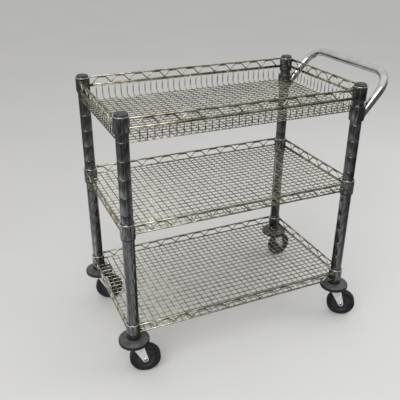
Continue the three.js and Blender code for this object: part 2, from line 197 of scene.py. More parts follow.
def paint(piece, material, is_chosen):
    """Gives a second material to the faces that is_chosen(centre) picks."""
    piece.data.materials.append(material)
    for polygon in piece.data.polygons:
        if is_chosen(polygon.center):
            polygon.material_index = 1


def circle(centre, side, other, radius, count):
    """Points around a centre, in the plane of two directions."""
    turns = [2 * math.pi * i / count for i in range(count)]
    return [centre + side * (radius * math.cos(t)) + other * (radius * math.sin(t)) for t in turns]


def add_wire(form, path, radius, sides=8, end_size=0.7):
    """A round wire along a path of points; its cut ends narrow to a share of the radius."""
    points = [Vector(p) for p in path]
    chamfer = 0.3 * radius
    start_way = (points[1] - points[0]).normalized()
    end_way = (points[-1] - points[-2]).normalized()
    points.insert(1, points[0] + start_way * chamfer)
    points.insert(-1, points[-1] - end_way * chamfer)
    side = start_way.orthogonal().normalized()
    rings = []
    last = len(points) - 1
    for i, point in enumerate(points):
        before = (point - points[i - 1]).normalized() if i > 0 else start_way
        after = (points[i + 1] - point).normalized() if i < last else end_way
        way = (before + after).normalized()
        side = (side - way * side.dot(way)).normalized()
        size = end_size * radius if i in (0, last) else radius
        rings.append(form.ring(circle(point, side, way.cross(side), size, sides)))
    for lower, upper in zip(rings, rings[1:]):
        form.skin(lower, upper)
    form.cap(reversed(rings[0]))
    form.cap(rings[-1])


def add_loop(form, path, centre, radius, sides=8):
    """A round bead along a closed path about a centre."""
    points = [Vector(p) for p in path]
    rings = []
    for i, point in enumerate(points):
        way = (points[(i + 1) % len(points)] - points[i - 1]).normalized()
        side = point - centre
        side = (side - way * side.dot(way)).normalized()
        rings.append(form.ring(circle(point, side, way.cross(side), radius, sides)))
    for lower, upper in zip(rings, rings[1:] + rings[:1]):
        form.skin(lower, upper)


def rounded(outline, steps=4):
    """A closed outline of (radius, height, fillet) as (radius, height) points, its corners rounded."""
    result = []
    count = len(outline)
    for i, (radius, height, fillet) in enumerate(outline):
        corner = Vector((radius, height))
        if fillet == 0:
            result.append(tuple(corner))
            continue
        before = (Vector(outline[i - 1][:2]) - corner).normalized()
        after = (Vector(outline[(i + 1) % count][:2]) - corner).normalized()
        for step in range(steps + 1):
            s = step / steps
            point = corner + before * (fillet * (1 - s) ** 2) + after * (fillet * s**2)
            result.append(tuple(point))
    return result


def add_turned(form, outline, place, segments=48):
    """A solid of revolution about the Z axis of `place`.

    The outline runs upwards on the outside; it is closed, or starts and ends on the axis.
    """
    turns = [2 * math.pi * i / segments for i in range(segments)]
    rings = []
    for radius, height in outline:
        if radius == 0:
            rings.append(form.ring([place @ Vector((0, 0, height))]))
            continue
        points = [Vector((radius * math.cos(t), radius * math.sin(t), height)) for t in turns]
        rings.append(form.ring([place @ p for p in points]))
    pairs = list(zip(rings, rings[1:]))
    if outline[0][0] != 0:
        pairs.append((rings[-1], rings[0]))
    for lower, upper in pairs:
        form.skin(lower, upper)


def add_turned_part(form, outline, place, start, end, segments=24):
    """The same over part of a turn, closed at both ends."""
    sections = []
    for i in range(segments + 1):
        t = start + (end - start) * i / segments
        points = [Vector((r * math.cos(t), r * math.sin(t), h)) for r, h in outline]
        sections.append(form.ring([place @ p for p in points]))
    for here, there in zip(sections, sections[1:]):
        for k in range(len(here)):
            m = (k + 1) % len(here)
            form.faces.append((here[k], there[k], there[m], here[m]))
    form.cap(sections[0])
    form.cap(reversed(sections[-1]))


def arc(corner, before, after, radius, steps):
    """Points of a round bend between two runs that would meet at a corner at a right angle."""
    points = []
    for i in range(steps + 1):
        t = math.pi / 2 * i / steps
        back = radius * (1 - math.sin(t))
        on = radius * (1 - math.cos(t))
        points.append(corner + before * back + after * on)
    return points


# ---- materials ----------------------------------------------------------------------------------


NOISE_LOW = 0.3  # most values of a noise texture lie between these two
NOISE_HIGH = 0.7


def noise(nodes, links, coordinates, scale, detail, stretch=(1, 1, 1)):
    mapping = nodes.new("ShaderNodeMapping")
    mapping.inputs["Scale"].default_value = stretch
    texture = nodes.new("ShaderNodeTexNoise")
    texture.inputs["Scale"].default_value = scale
    texture.inputs["Detail"].default_value = detail
    links.new(coordinates, mapping.inputs["Vector"])
    links.new(mapping.outputs["Vector"], texture.inputs["Vector"])
    return texture.outputs["Fac"]


def ramp(nodes, links, value, stops):
    """A colour ramp through (position, colour) stops."""
    node = nodes.new("ShaderNodeValToRGB")
    elements = node.color_ramp.elements
    while len(elements) < len(stops):
        elements.new(0.5)
    for element, (position, colour) in zip(elements, stops):
        element.position = position
        element.color = (*colour, 1)
    links.new(value, node.inputs["Fac"])
    return node.outputs["Color"]


def spread(nodes, links, value, low, high):
    """Maps the middle of a noise value to a range."""
    node = nodes.new("ShaderNodeMapRange")
    node.inputs["From Min"].default_value = NOISE_LOW
    node.inputs["From Max"].default_value = NOISE_HIGH
    node.inputs["To Min"].default_value = low
    node.inputs["To Max"].default_value = high
    links.new(value, node.inputs["Value"])
    return node.outputs["Result"]


def bump(nodes, links, height, strength, distance):
    node = nodes.new("ShaderNodeBump")
    node.inputs["Strength"].default_value = strength
    node.inputs["Distance"].default_value = distance
    links.new(height, node.inputs["Height"])
    return node.outputs["Normal"]


def surface(name, metallic, colours, blotch, roughness, smear, grain, grain_bump,
            stretch=(1, 1, 1)):
    """A worn surface: blotches of colour, smears in its gloss and a fine grain in its relief.

    colours is (darkest, usual, lightest) and roughness is (lowest, highest). blotch, smear and
    grain are noise scales per metre, and grain_bump is the relief's (strength, distance).
    """
    material = bpy.data.materials.new(name)
    material.use_nodes = True
    nodes, links = material.node_tree.nodes, material.node_tree.links
    shader = nodes["Principled BSDF"]
    shader.inputs["Metallic"].default_value = metallic
    place = nodes.new("ShaderNodeTexCoord").outputs["Object"]
    stains = noise(nodes, links, place, blotch, detail=6, stretch=stretch)
    stops = list(zip((NOISE_LOW, 0.5, NOISE_HIGH), colours))
    links.new(ramp(nodes, links, stains, stops), shader.inputs["Base Color"])
    gloss = noise(nodes, links, place, smear, detail=8, stretch=stretch)
    links.new(spread(nodes, links, gloss, *roughness), shader.inputs["Roughness"])
    relief = noise(nodes, links, place, grain, detail=3, stretch=stretch)
    links.new(bump(nodes, links, relief, *grain_bump), shader.inputs["Normal"])
    return material


# Chrome tube, drawn lengthwise: its streaks run along Z.
POST_CHROME = surface(
    "post_chrome", metallic=1.0,
    colours=((0.11, 0.112, 0.116), (0.2, 0.202, 0.208), (0.33, 0.333, 0.34)), blotch=90,
    roughness=(0.04, 0.12), smear=60, grain=400, grain_bump=(0.12, 0.0004), stretch=(1, 1, 0.06))
COLLAR_CHROME = surface(
    "collar_chrome", metallic=1.0,
    colours=((0.1, 0.101, 0.104), (0.21, 0.211, 0.214), (0.42, 0.422, 0.425)), blotch=120,
    roughness=(0.04, 0.13), smear=90, grain=500, grain_bump=(0.18, 0.0005), stretch=(1, 1, 0.3))
# Painted highlight: a much lighter chrome laid on the top of each shelf collar's lip.
PAINTED_HIGHLIGHT_LIP = surface(
    "painted_highlight_lip", metallic=1.0,
    colours=((0.5, 0.5, 0.49), (0.72, 0.72, 0.70), (0.84, 0.84, 0.82)), blotch=120,
    roughness=(0.1, 0.25), smear=90, grain=500, grain_bump=(0.1, 0.0003))
WIRE_NICKEL = surface(
    "wire_nickel", metallic=1.0,
    colours=((0.15, 0.14, 0.09), (0.38, 0.36, 0.265), (0.74, 0.72, 0.62)), blotch=45,
    roughness=(0.1, 0.26), smear=130, grain=900, grain_bump=(0.15, 0.0003))
HANDLE_CHROME = surface(
    "handle_chrome", metallic=1.0,
    colours=((0.56, 0.56, 0.55), (0.68, 0.68, 0.67), (0.76, 0.76, 0.75)), blotch=30,
    roughness=(0.05, 0.14), smear=40, grain=700, grain_bump=(0.06, 0.0002))
CAP_PLASTIC = surface(
    "cap_plastic", metallic=0.0,
    colours=((0.028, 0.028, 0.032), (0.045, 0.045, 0.05), (0.075, 0.075, 0.08)), blotch=150,
    roughness=(0.38, 0.6), smear=200, grain=2500, grain_bump=(0.3, 0.0002))
SLEEVE_PLASTIC = surface(
    "sleeve_plastic", metallic=0.0,
    colours=((0.012, 0.012, 0.013), (0.02, 0.02, 0.022), (0.035, 0.035, 0.037)), blotch=150,
    roughness=(0.4, 0.6), smear=200, grain=2500, grain_bump=(0.3, 0.0002))
BUMPER_TOP = surface(
    "bumper_top", metallic=0.0,
    colours=((0.045, 0.045, 0.048), (0.075, 0.075, 0.078), (0.12, 0.119, 0.118)), blotch=70,
    roughness=(0.42, 0.66), smear=90, grain=1800, grain_bump=(0.35, 0.0003))
BUMPER_EDGE = surface(
    "bumper_edge", metallic=0.0,
    colours=((0.004, 0.004, 0.005), (0.008, 0.008, 0.009), (0.02, 0.02, 0.02)), blotch=90,
    roughness=(0.45, 0.7), smear=120, grain=1800, grain_bump=(0.35, 0.0003))
ZINC_STEEL = surface(
    "zinc_steel", metallic=0.25,
    colours=((0.58, 0.585, 0.58), (0.74, 0.745, 0.74), (0.84, 0.845, 0.84)), blotch=130,
    roughness=(0.34, 0.52), smear=160, grain=900, grain_bump=(0.3, 0.0004))
RIVET_STEEL = surface(
    "rivet_steel", metallic=1.0,
    colours=((0.60, 0.60, 0.58), (0.74, 0.74, 0.72), (0.82, 0.82, 0.80)), blotch=200,
    roughness=(0.16, 0.3), smear=200, grain=1200, grain_bump=(0.15, 0.0002))
TYRE_RUBBER = surface(
    "tyre_rubber", metallic=0.0,
    colours=((0.005, 0.006, 0.008), (0.009, 0.01, 0.013), (0.022, 0.022, 0.024)), blotch=60,
    roughness=(0.5, 0.78), smear=80, grain=1500, grain_bump=(0.4, 0.0003))
HUB_PLASTIC = surface(
    "hub_plastic", metallic=0.0,
    colours=((0.012, 0.013, 0.017), (0.020, 0.021, 0.027), (0.038, 0.038, 0.042)), blotch=80,
    roughness=(0.36, 0.58), smear=120, grain=2000, grain_bump=(0.3, 0.0002))

# ---- places, read from the CAD frame ------------------------------------------------------------


def post_axis(corner):
    low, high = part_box(f"post_{corner}")
    return (low.x + high.x) / 2, (low.y + high.y) / 2


AXES = {corner: post_axis(corner) for corner in CORNERS}
MIDDLE_X = (AXES["front_left"][0] + AXES["front_right"][0]) / 2
MIDDLE_Y = (AXES["front_left"][1] + AXES["rear_left"][1]) / 2
HALF_X = AXES["front_right"][0] - MIDDLE_X
HALF_Y = AXES["rear_left"][1] - MIDDLE_Y
LONG_RIM = HALF_Y + RIM_OFFSET
END_RIM = HALF_X + RIM_OFFSET
SHORT_REACH_X = HALF_X - CORNER_CLEAR + SHORT_WIRE_EXTRA
SHORT_REACH_Y = HALF_Y - CORNER_CLEAR + SHORT_WIRE_EXTRA


def standing(x, y):
    """An upright axis through a place on the floor."""
    return Matrix.Translation((x, y, 0))


# ---- posts, caps, sleeves and collars -----------------------------------------------------------


def build_post(corner):
    """A tube with a locking groove all around it at every step of the pitch."""
    low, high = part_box(f"post_{corner}")
    waist = POST_RADIUS - GROOVE_DEPTH
    outline = [(POST_BORE, low.z, 0), (POST_RADIUS, low.z, GROOVE_ROUNDING)]
    for i in reversed(range(GROOVE_COUNT)):
        height = GROOVE_TOP - i * GROOVE_PITCH
        outline += [
            (POST_RADIUS, height - GROOVE_HALF_WIDTH, GROOVE_ROUNDING),
            (waist, height - GROOVE_HALF_WIDTH / 2, GROOVE_ROUNDING),
            (waist, height + GROOVE_HALF_WIDTH / 2, GROOVE_ROUNDING),
            (POST_RADIUS, height + GROOVE_HALF_WIDTH, GROOVE_ROUNDING),
        ]
    outline += [(POST_RADIUS, high.z, GROOVE_ROUNDING), (POST_BORE, high.z, 0)]
    form = Form()
    add_turned(form, rounded(outline, steps=2), standing(*AXES[corner]), segments=56)
    form.finish(f"post_tube_{corner}", POST_CHROME, "cart_frame", f"post_{corner}")


def build_cap(corner):
    """A push-in cap: a shallow dome with a stepped edge over a plain plug."""
    low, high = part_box(f"post_cap_{corner}")
    seat = high.z - CAP_HEIGHT
    plug = POST_BORE - 0.3 * MM
    outline = [
        (0, low.z, 0),
        (plug, low.z, 1 * MM),
        (plug, seat, 0),
        (CAP_RADIUS - 0.6 * MM, seat, 0.4 * MM),
        (CAP_RADIUS, seat + 1.2 * MM, 0.3 * MM),
        (CAP_RADIUS, high.z - 3.6 * MM, 1.2 * MM),
        (CAP_RADIUS - 2.2 * MM, high.z - 1.3 * MM, 1 * MM),
        (CAP_RADIUS - 5 * MM, high.z - 0.5 * MM, 1 * MM),
        (0, high.z, 0),
    ]
    form = Form()
    add_turned(form, rounded(outline), standing(*AXES[corner]))
    form.finish(f"cap_{corner}", CAP_PLASTIC, "cart_frame", f"post_cap_{corner}")


def build_sleeve(shelf, corner):
    """Two half rings with a slit between them, thicker towards the bottom."""
    node = f"sleeve_{shelf}_{corner}"
    low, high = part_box(node)
    outline = [
        (SLIP_RADIUS, low.z, 0),
        (SLEEVE_LOW_RADIUS, low.z, 0.7 * MM),
        (SLEEVE_HIGH_RADIUS, high.z, 0.4 * MM),
        (SLIP_RADIUS, high.z, 0),
    ]
    slit = SLEEVE_SLIT / POST_RADIUS
    form = Form()
    for turn in (0, math.pi):
        start = turn + slit / 2
        add_turned_part(form, rounded(outline, steps=3), standing(*AXES[corner]),
                        start, start + math.pi - slit)
    form.finish(f"split_sleeve_{shelf}_{corner}", SLEEVE_PLASTIC, "cart_frame", node)


def build_collar(shelf, corner):
    """A shelf's corner collar, with a small lip around its top, which carries a painted highlight: a
    much lighter chrome on its top faces.
    """
    side = corner.split("_")[1]
    node = f"shelf_{shelf}_rim_{side}"
    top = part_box(node)[1].z
    height = BASKET_COLLAR_HEIGHT if shelf == "top" else FLAT_COLLAR_HEIGHT
    bottom = top - height
    inner_low = COLLAR_RADIUS - COLLAR_WALL + 1.4 * MM
    inner_high = COLLAR_RADIUS - COLLAR_WALL - 0.3 * MM
    wall = COLLAR_RADIUS - 0.5 * MM
    outline = [
        (inner_low, bottom, 0.3 * MM),
        (wall, bottom, 0.8 * MM),
        (wall, top - 3.2 * MM, 0.6 * MM),
        (COLLAR_RADIUS, top - 2.4 * MM, 0.6 * MM),
        (COLLAR_RADIUS, top, 1.1 * MM),
        (inner_high, top, 0.3 * MM),
    ]
    form = Form()
    add_turned(form, rounded(outline), standing(*AXES[corner]))
    piece = form.finish(f"collar_{shelf}_{corner}", COLLAR_CHROME, "cart_frame", node)
    # painted highlight: the faces at the top of the lip get the much lighter chrome
    paint(piece, PAINTED_HIGHLIGHT_LIP, lambda centre: centre.z > top - PAINTED_HIGHLIGHT_DEPTH)


# ---- shelf rims ---------------------------------------------------------------------------------


def zigzag_path(half_length, wave, first_low, low, high):
    """Points (u, height) of a zigzag wire: points at the lower rod, flats along the upper rod.

    first_low is where along the rim one of the lower points is.
    """
    points = []
    index = math.ceil((-half_length - first_low) / wave) - 1
    while first_low + index * wave < half_length + wave:
        at = first_low + index * wave
        points += [(at - wave / 2, high), (at - wave / 2 + ZIGZAG_HEAD, high)]
        points += [(at - ZIGZAG_FOOT, low), (at + ZIGZAG_FOOT, low)]
        points += [(at + wave / 2 - ZIGZAG_HEAD, high), (at + wave / 2, high)]
        index += 1
    return clipped(soften(points, 2.5 * MM), -half_length, half_length)


def soften(points, radius):
    """Rounds the corners of a polyline of (u, height) points."""
    result = [points[0]]
    for before, here, after in zip(points, points[1:], points[2:]):
        corner = Vector(here)
        arms = []
        for neighbour in (Vector(before), Vector(after)):
            arm = neighbour - corner
            if arm.length < 1e-9:
                continue
            arms.append(arm.normalized() * min(radius, arm.length / 2))
        if len(arms) < 2:
            continue
        for s in (0, 0.33, 0.67, 1):
            result.append(tuple(corner + arms[0] * (1 - s) ** 2 + arms[1] * s**2))
    result.append(points[-1])
    return result


def clipped(points, low, high):
    """The part of a polyline between two values of u, which only grows along it."""
    result = []
    for (u0, v0), (u1, v1) in zip(points, points[1:]):
        if u1 <= low or u0 >= high or u1 - u0 < 1e-9:
            continue
        for limit in (low, high):
            if u0 < limit < u1:
                share = (limit - u0) / (u1 - u0)
                cut = (limit, v0 + (v1 - v0) * share)
                if limit == low:
                    u0, v0 = cut
                else:
                    u1, v1 = cut
        if not result:
            result.append((u0, v0))
        result.append((u1, v1))
    return result


def rod_heights(shelf):
    """The heights of the lower and the upper rod of a shelf's rims."""
    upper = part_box(f"shelf_{shelf}_rim_front")[1].z - ROD_BOX_HALF
    return upper - ROD_SPACING, upper


def build_rim(shelf, side, place, half_length, zigzag_half, wave, first_low):
    """Two rods and the zigzag between them; the basket's rims have a thin border wire below.

    place(along, across, up) turns a point of the rim into one of the frame.
    """
    lower, upper = rod_heights(shelf)
    form = Form()
    for height in (lower, upper):
        add_wire(form, [place(-half_length, 0, height), place(half_length, 0, height)],
                 ROD_RADIUS, sides=14)
    reach = ROD_RADIUS + ZIGZAG_RADIUS - WELD_SINK
    zigzag = zigzag_path(zigzag_half, wave, first_low, lower + reach, upper - reach)
    add_wire(form, [place(u, 0, v) for u, v in zigzag], ZIGZAG_RADIUS, sides=10)
    if shelf == "top":
        border = lower - ROD_RADIUS - BORDER_WIRE + WELD_SINK
        inside = 1.2 * MM
        add_wire(form, [place(-half_length, inside, border), place(half_length, inside, border)],
                 BORDER_WIRE, sides=10)
    form.finish(f"rim_{shelf}_{side}", WIRE_NICKEL, "cart_frame", f"shelf_{shelf}_rim_{side}",
                smooth_below=60)


def on_long_side(sign):
    """The place function of the front (-1) or the rear (1) rim."""
    return lambda along, across, up: (MIDDLE_X + along, MIDDLE_Y + sign * (LONG_RIM - across), up)


def on_end(sign):
    """The place function of the left (-1) or the right (1) rim."""
    return lambda along, across, up: (MIDDLE_X + sign * (END_RIM - across), MIDDLE_Y + along, up)


def build_rims(shelf):
    """The four rims of a shelf. The basket's long zigzags end at a lower point near each post."""
    long_half = HALF_X - ROD_END
    long_zigzag = long_half + ZIGZAG_OVERRUN
    long_low = 0
    if shelf == "top":
        long_low = LONG_WAVE / 2
        long_zigzag = long_low + WHOLE_WAVES * LONG_WAVE + ZIGZAG_FOOT
    for side, sign in (("front", -1), ("rear", 1)):
        build_rim(shelf, side, on_long_side(sign), long_half, long_zigzag, LONG_WAVE, long_low)
    end_half = HALF_Y - ROD_END
    end_zigzag = end_half + ZIGZAG_OVERRUN
    for side, sign in (("left", -1), ("right", 1)):
        build_rim(shelf, side, on_end(sign), end_half, end_zigzag, END_WAVE, END_WAVE / 2)


# ---- shelf decks --------------------------------------------------------------------------------


def places_along(limit, first):
    """Wire positions first + n * pitch between -limit and limit."""
    count = int((limit + first) // MESH_PITCH)
    return [first + n * MESH_PITCH for n in range(-count - 1, count + 2)
            if abs(first + n * MESH_PITCH) <= limit]


def is_cut_short(place, half):
    """Whether a wire at this place would meet the posts at `half` from the middle."""
    return abs(place) > half - CORNER_CLEAR


def build_flat_deck(shelf):
    """Square mesh welded between the lower rods; the wires across the shelf lie on top."""
    lower, _ = rod_heights(shelf)
    on_top = lower + 0.6 * MM
    beneath = on_top - 2 * MESH_WIRE + WELD_SINK
    form = Form()
    for x in places_along(END_RIM - DECK_MARGIN, MESH_PITCH / 2):
        reach = SHORT_REACH_Y if is_cut_short(x, HALF_X) else LONG_RIM - 1 * MM
        add_wire(form, [(MIDDLE_X + x, MIDDLE_Y - reach, on_top),
                        (MIDDLE_X + x, MIDDLE_Y + reach, on_top)], MESH_WIRE)
    for y in places_along(LONG_RIM - DECK_MARGIN, 0):
        reach = SHORT_REACH_X if is_cut_short(y, HALF_Y) else END_RIM - 1 * MM
        add_wire(form, [(MIDDLE_X - reach, MIDDLE_Y + y, beneath),
                        (MIDDLE_X + reach, MIDDLE_Y + y, beneath)], MESH_WIRE)
    form.finish(f"mesh_{shelf}", WIRE_NICKEL, "cart_frame", f"shelf_{shelf}_deck",
                smooth_below=60)


def basket_wire(wall, floor, top):
    """Points (across, height) of one wire: down a wall, round a bend, over the floor and up."""
    down = [Vector((-wall, top))]
    down += arc(Vector((-wall, floor)), Vector((0, 1)), Vector((1, 0)), BASKET_BEND, 5)
    up = [Vector((-p.x, p.y)) for p in reversed(down)]
    return down + up


def build_basket():
    """The basket's floor and walls; the wires next to the posts lie in the floor only."""
    lower, _ = rod_heights("top")
    low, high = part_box("shelf_top_deck")
    floor = (low.z + high.z) / 2
    on_top = floor + MESH_WIRE - WELD_SINK / 2
    beneath = floor - MESH_WIRE + WELD_SINK / 2
    inside = ROD_RADIUS + MESH_WIRE - WELD_SINK
    wire_top = lower - 1.5 * MM
    form = Form()
    for x in places_along(END_RIM - BASKET_MARGIN, 0):
        if is_cut_short(x, HALF_X):
            path = [(-SHORT_REACH_Y, on_top), (SHORT_REACH_Y, on_top)]
        else:
            path = basket_wire(LONG_RIM - inside, on_top, wire_top)
        add_wire(form, [(MIDDLE_X + x, MIDDLE_Y + u, v) for u, v in path], MESH_WIRE)
    for y in places_along(LONG_RIM - BASKET_MARGIN, 0):
        if is_cut_short(y, HALF_Y):
            path = [(-SHORT_REACH_X, beneath), (SHORT_REACH_X, beneath)]
        else:
            path = basket_wire(END_RIM - inside, beneath, wire_top)
        add_wire(form, [(MIDDLE_X + u, MIDDLE_Y + y, v) for u, v in path], MESH_WIRE)
    form.finish("basket_wires", WIRE_NICKEL, "cart_frame", "shelf_top_deck",
                smooth_below=60)


# ---- push handle --------------------------------------------------------------------------------


def handle_path():
    """Points of the tube's axis, from the front collar over the grip to the rear collar."""
    post_x = AXES["front_right"][0]
    grip_x = post_x + HANDLE_REACH
    root = Vector((post_x + HANDLE_ROOT_REACH, MIDDLE_Y - HANDLE_HALF_SPAN, HANDLE_ROOT_HEIGHT))
    corner = Vector((grip_x, MIDDLE_Y - HANDLE_HALF_SPAN, HANDLE_GRIP_HEIGHT))
    down = (root - corner).normalized()
    front = [root] + arc(corner, down, Vector((0, 1, 0)), HANDLE_BEND, 14)
    rear = [Vector((p.x, 2 * MIDDLE_Y - p.y, p.z)) for p in reversed(front)]
    return front + rear


def onto_collar(point, way, axis, radius):
    """Where a line along `way` leaves an upright cylinder about a post axis."""
    offset = Vector((point.x - axis[0], point.y - axis[1]))
    flat = Vector((way.x, way.y))
    a = flat.dot(flat)
    b = 2 * offset.dot(flat)
    c = offset.dot(offset) - radius**2
    return point + way * ((-b + math.sqrt(b * b - 4 * a * c)) / (2 * a))


def weld_bead(form, root, way, axis):
    """The weld where the tube enters its collar."""
    side = way.orthogonal().normalized()
    outline = circle(root, side, way.cross(side), HANDLE_RADIUS, HANDLE_SIDES)
    points = [onto_collar(p, way, axis, HANDLE_COLLAR_RADIUS) for p in outline]
    centre = sum(points, Vector()) / len(points)
    add_loop(form, points, centre, 1.3 * MM)


def build_handle_collar(side, root, way):
    """The ring around a post that one end of the tube is welded to."""
    axis = AXES[f"{side}_right"]
    outline = [
        (SLIP_RADIUS, HANDLE_COLLAR_LOW, 0.3 * MM),
        (HANDLE_COLLAR_RADIUS - 0.8 * MM, HANDLE_COLLAR_LOW, 1 * MM),
        (HANDLE_COLLAR_RADIUS, HANDLE_COLLAR_HIGH - 3 * MM, 0.8 * MM),
        (HANDLE_COLLAR_RADIUS, HANDLE_COLLAR_HIGH, 1 * MM),
        (SLIP_RADIUS, HANDLE_COLLAR_HIGH, 0.3 * MM),
    ]
    form = Form()
    add_turned(form, rounded(outline), standing(*axis))
    weld_bead(form, root, way, axis)
    form.finish(f"handle_collar_{side}", COLLAR_CHROME, "cart_frame", "push_handle")


def build_handle():
    """The bent tube, each end of it cut to the round of its collar, and the two collars."""
    path = handle_path()
    form = Form()
    add_wire(form, path, HANDLE_RADIUS, HANDLE_SIDES, end_size=1)
    ends = (
        ("front", path[0], (path[1] - path[0]).normalized(), 0),
        ("rear", path[-1], (path[-2] - path[-1]).normalized(), len(form.points) - HANDLE_SIDES),
    )
    for side, root, way, start in ends:
        for i in range(start, start + HANDLE_SIDES):
            form.points[i] = onto_collar(form.points[i], way, AXES[f"{side}_right"],
                                         HANDLE_COLLAR_RADIUS - 1 * MM)
    form.finish("handle_tube", HANDLE_CHROME, "cart_frame", "push_handle")
    for side, root, way, start in ends:
        build_handle_collar(side, root, way)


# ---- casters ------------------------------------------------------------------------------------


def swivel_place(corner):
    """Turns (along the trail, across, up) about a caster's swivel axis into the frame."""
    x, y = AXES[corner]
    low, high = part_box(f"wheel_tyre_{corner}")
    angle = math.atan2((low.y + high.y) / 2 - y, (low.x + high.x) / 2 - x)
    return Matrix.Translation((x, y, 0)) @ Matrix.Rotation(angle, 4, "Z")


def axle_place(corner):
    """The axle's own axis as Z."""
    on_axle = Matrix.Translation((CASTER_TRAIL, 0, WHEEL_RADIUS))
    return swivel_place(corner) @ on_axle @ Matrix.Rotation(math.pi / 2, 4, "X")


def build_bumper(corner):
    """A soft disc: a grey sloping top over a black side, with a black ring around the post."""
    edge = BUMPER_LOW + BUMPER_SIDE
    outline = [
        (BUMPER_HOLE, BUMPER_LOW, 0.5 * MM),
        (BUMPER_RADIUS - 1.5 * MM, BUMPER_LOW, 1 * MM),
        (BUMPER_RADIUS, BUMPER_LOW + 1.5 * MM, 0.8 * MM),
        (BUMPER_RADIUS, edge, 1.2 * MM),
        (BUMPER_RADIUS - 1.6 * MM, edge + 0.8 * MM, 0.3 * MM),
        (BUMPER_RADIUS - 3.2 * MM, edge + 1.8 * MM, 1 * MM),
        (32 * MM, BUMPER_HIGH - 3 * MM, 4 * MM),
        (BUMPER_RING, BUMPER_HIGH - 1.6 * MM, 0.8 * MM),
        (BUMPER_RING - 1 * MM, BUMPER_HIGH, 0.5 * MM),
        (BUMPER_HOLE, BUMPER_HIGH, 0.5 * MM),
    ]
    form = Form()
    add_turned(form, rounded(outline), standing(*AXES[corner]), segments=72)
    piece = form.finish(f"bumper_disc_{corner}", BUMPER_TOP, "cart_frame", f"bumper_{corner}")
    x, y = AXES[corner]

    def is_black(centre):
        reach = math.hypot(centre.x - x, centre.y - y)
        return centre.z < edge + 1 * MM or reach < BUMPER_RING + 0.1 * MM

    paint(piece, BUMPER_EDGE, is_black)


def build_stem(corner):
    """The plug in the post, the neck, the upper race of the swivel and the kingpin."""
    race_low = FORK_TOP + SWIVEL_GAP
    race_high = BUMPER_LOW - SWIVEL_GAP
    head_high = FORK_TOP - 3.8 * MM
    low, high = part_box(f"caster_stem_{corner}")
    outline = [
        (0, low.z, 0),
        (7 * MM, low.z, 0.8 * MM),
        (8 * MM, low.z + 1.5 * MM, 0.5 * MM),
        (8 * MM, head_high, 0.2 * MM),
        (KINGPIN_RADIUS, head_high, 0),
        (KINGPIN_RADIUS, race_low, 0),
        (RACE_RADIUS - 3 * MM, race_low, 0.6 * MM),
        (RACE_RADIUS, race_low + 2 * MM, 1.2 * MM),
        (RACE_RADIUS - 2 * MM, race_high, 0.8 * MM),
        (NECK_RADIUS, race_high, 0),
        (NECK_RADIUS, PLUG_LOW, 0),
        (PLUG_RADIUS, PLUG_LOW, 0.5 * MM),
        (PLUG_RADIUS, high.z, 0.8 * MM),
        (0, high.z, 0),
    ]
    form = Form()
    add_turned(form, rounded(outline), standing(*AXES[corner]))
    form.finish(f"swivel_stem_{corner}", ZINC_STEEL, "cart_frame", f"caster_stem_{corner}")


def tangent_point(start, side):
    """Where a line from `start` touches the round end of a fork leg, behind (-1) or ahead (1)."""
    centre = Vector((CASTER_TRAIL, WHEEL_RADIUS))
    gap = centre - start
    length = math.sqrt(gap.length_squared - FORK_END_RADIUS**2)
    angle = math.atan2(gap.y, gap.x) + side * math.asin(FORK_END_RADIUS / gap.length)
    return start + Vector((math.cos(angle), math.sin(angle))) * length


LEG_BACK_START = Vector((FORK_LEG_BACK, FORK_LEG_TOP))
LEG_FRONT_START = Vector((FORK_FRONT, FORK_LEG_TOP))
LEG_BACK_TOUCH = tangent_point(LEG_BACK_START, -1)
LEG_FRONT_TOUCH = tangent_point(LEG_FRONT_START, 1)


def leg_edge(start, touch, sign, height):
    """How far along the trail a leg's edge is at a height."""
    if height < touch.y:
        drop = height - WHEEL_RADIUS
        return CASTER_TRAIL + sign * math.sqrt(max(FORK_END_RADIUS**2 - drop**2, 0))
    share = min((height - touch.y) / (start.y - touch.y), 1)
    return touch.x + (start.x - touch.x) * share


def fork_section():
    """Points (across, height) of the folded sheet, from one leg's end over the crown."""
    crown = FORK_TOP - FORK_SHEET / 2
    lowest = WHEEL_RADIUS - FORK_END_RADIUS
    turns = [math.radians(angle) for angle in range(6, 91, 7)]
    heights = [lowest + FORK_END_RADIUS * (1 - math.cos(turn)) for turn in turns]
    straight = crown - FORK_FOLD - heights[-1]
    heights += [heights[-1] + straight * i / 6 for i in range(1, 7)]
    leg = [Vector((FORK_HALF_WIDTH, height)) for height in heights]
    fold = arc(Vector((FORK_HALF_WIDTH, crown)), Vector((0, -1)), Vector((-1, 0)), FORK_FOLD, 5)
    half = leg + fold[1:] + [Vector((FORK_HALF_WIDTH * share, crown)) for share in CROWN_ROWS]
    return half + [Vector((-p.x, p.y)) for p in reversed(half)]


